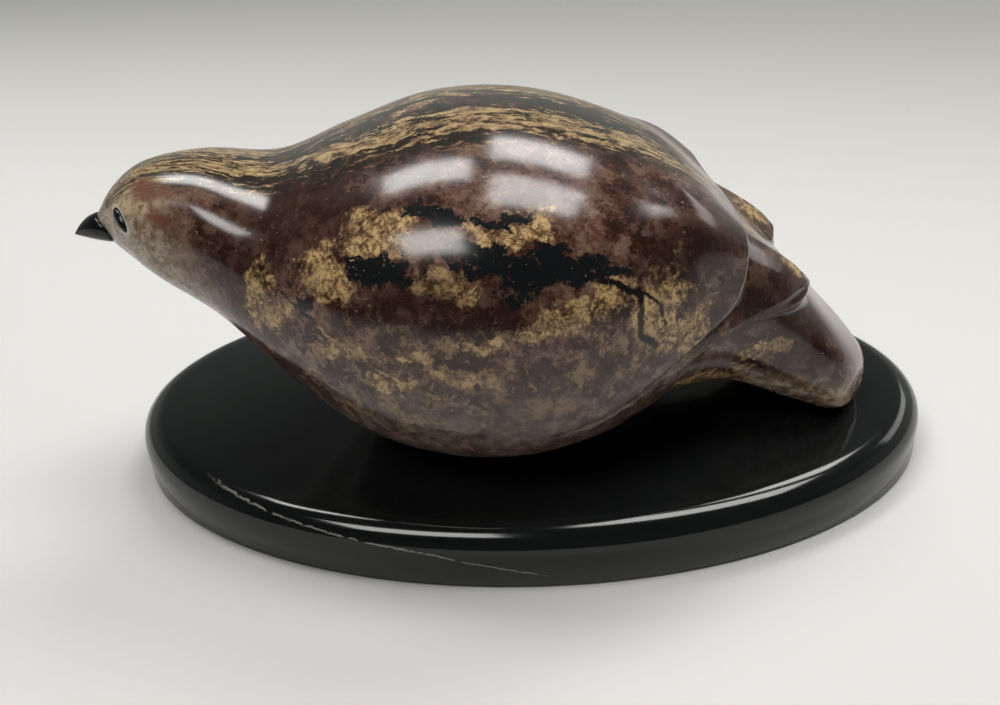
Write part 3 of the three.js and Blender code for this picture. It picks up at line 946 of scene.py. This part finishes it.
# %% Polish the plinth
PLINTH_BLACK = ((0.0035, 0.0045, 0.0045), (0.0075, 0.009, 0.0085))
VEIN_COLOUR = (0.20, 0.19, 0.165)
VEIN = {"bend_at": -20.0, "height": 9.7, "head_slope": 0.092, "tail_slope": 0.22, "wobble": 1.6}
slab = Finish("plinth_stone", roughness=0.11, specular=0.42)
where = slab.point(PER_METRE)
px, py, pz = slab.parts(where)
base = slab.blend(*PLINTH_BLACK, slab.noise(where, 0.06, 4.0))
wobble = slab.noise(where, 0.35, 4.0, 0.6)
left_of = VEIN["bend_at"] - px
slope = VEIN["head_slope"] * most(left_of, 0.0) + VEIN["tail_slope"] * least(left_of, 0.0)
vein_height = VEIN["height"] + slope + VEIN["wobble"] * (wobble - 0.5)
vein = slab.between(abs(pz - vein_height), 0.26, 0.10)
below_top = slab.between(pz, 14.95, 14.8)
near_side = slab.between(py, 0.0, -20.0)
ends = slab.between(px, -78.0, -68.0) * slab.between(px, 10.0, 2.0)
vein = vein * near_side * below_top * ends * slab.between(wobble, 0.36, 0.50)
slab.paint("Base Color", slab.blend(base, VEIN_COLOUR, vein))
plinth.data.materials.append(slab.material)
print("plinth stone nodes:", len(slab.nodes))

# %% Polish the beak and the eyes
JET_BLACK = ((0.003, 0.003, 0.004), (0.008, 0.008, 0.009))
jet = Finish("jet_stone", roughness=0.08, specular=0.35)
jet.paint("Base Color", jet.blend(*JET_BLACK, jet.noise(jet.point(PER_METRE), 0.8, 3.0)))
for piece in (beak, *eyes.values()):
    piece.data.materials.append(jet.material)
print("jet stone nodes:", len(jet.nodes))

# %% [markdown]
# ## The floor and the room
# The carving stands on a plain pale surface. It reaches far enough that its edge never shows, and grows a little
# darker with the distance, as cloth does away from the light.

# %% Lay the floor
FLOOR_REACH = 4.0
NEAR_FLOOR = ((0.44, 0.44, 0.435), (0.47, 0.47, 0.465))
FAR_FLOOR = (0.20, 0.20, 0.19)
corners = [(-FLOOR_REACH, -FLOOR_REACH, 0.0), (FLOOR_REACH, -FLOOR_REACH, 0.0),
           (FLOOR_REACH, FLOOR_REACH, 0.0), (-FLOOR_REACH, FLOOR_REACH, 0.0)]
floor_mesh = bpy.data.meshes.new("floor")
floor_mesh.from_pydata(corners, [], [(0, 1, 2, 3)])
floor = bpy.data.objects.new("floor", floor_mesh)
bpy.context.scene.collection.objects.link(floor)
pale = Finish("pale_floor", roughness=0.8)
spot = pale.point(1.0)
floor_x, floor_y, _ = pale.parts(spot)
near_floor = pale.blend(*NEAR_FLOOR, pale.noise(spot, 3.0, 2.0))
far_away = pale.between(floor_y + 0.35 * floor_x, 0.02, 0.60)
pale.paint("Base Color", pale.blend(near_floor, FAR_FLOOR, far_away))
floor.data.materials.append(pale.material)
print("floor", 2.0 * FLOOR_REACH, "m wide")

# %% [markdown]
# The walls are a soft world colour: pale behind the bird, dim on the near side, and dimmer towards the ceiling,
# where only the panels shine. A picture of a room would do this too, but a few nodes are enough.

# %% Colour the room
NEAR_WALL = (0.05, 0.05, 0.05)
FAR_WALL = (0.38, 0.40, 0.37)
world = bpy.data.worlds.new("room")
world.use_nodes = True
bpy.context.scene.world = world
room = Graph(world.node_tree)
_, backward, upward = room.parts(room.add("ShaderNodeTexCoord", output="Generated"))
far_side = room.add("ShaderNodeMapRange", None, {"Value": backward, "From Min": -0.5, "From Max": 0.6})
dimming = room.between(upward, 0.30, 0.62, 1.0, 0.25)
walls = room.vector("MULTIPLY", room.blend(NEAR_WALL, FAR_WALL, far_side), dimming)
room.feed(room.nodes["Background"].inputs["Color"], walls)
bpy.context.scene.view_settings.view_transform = "Standard"
print("room nodes:", len(room.nodes))

# %% [markdown]
# ## Hand over to the frame
# Each visible piece stands for one solid, whose own mesh is hidden, and rides on the single body.

# %% Put each piece on the body and hide its solid
PIECES = {"bird": bird, "beak": beak, "plinth": plinth, **eyes}
for node, piece in PIECES.items():
    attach(piece, "root")
    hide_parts(node)
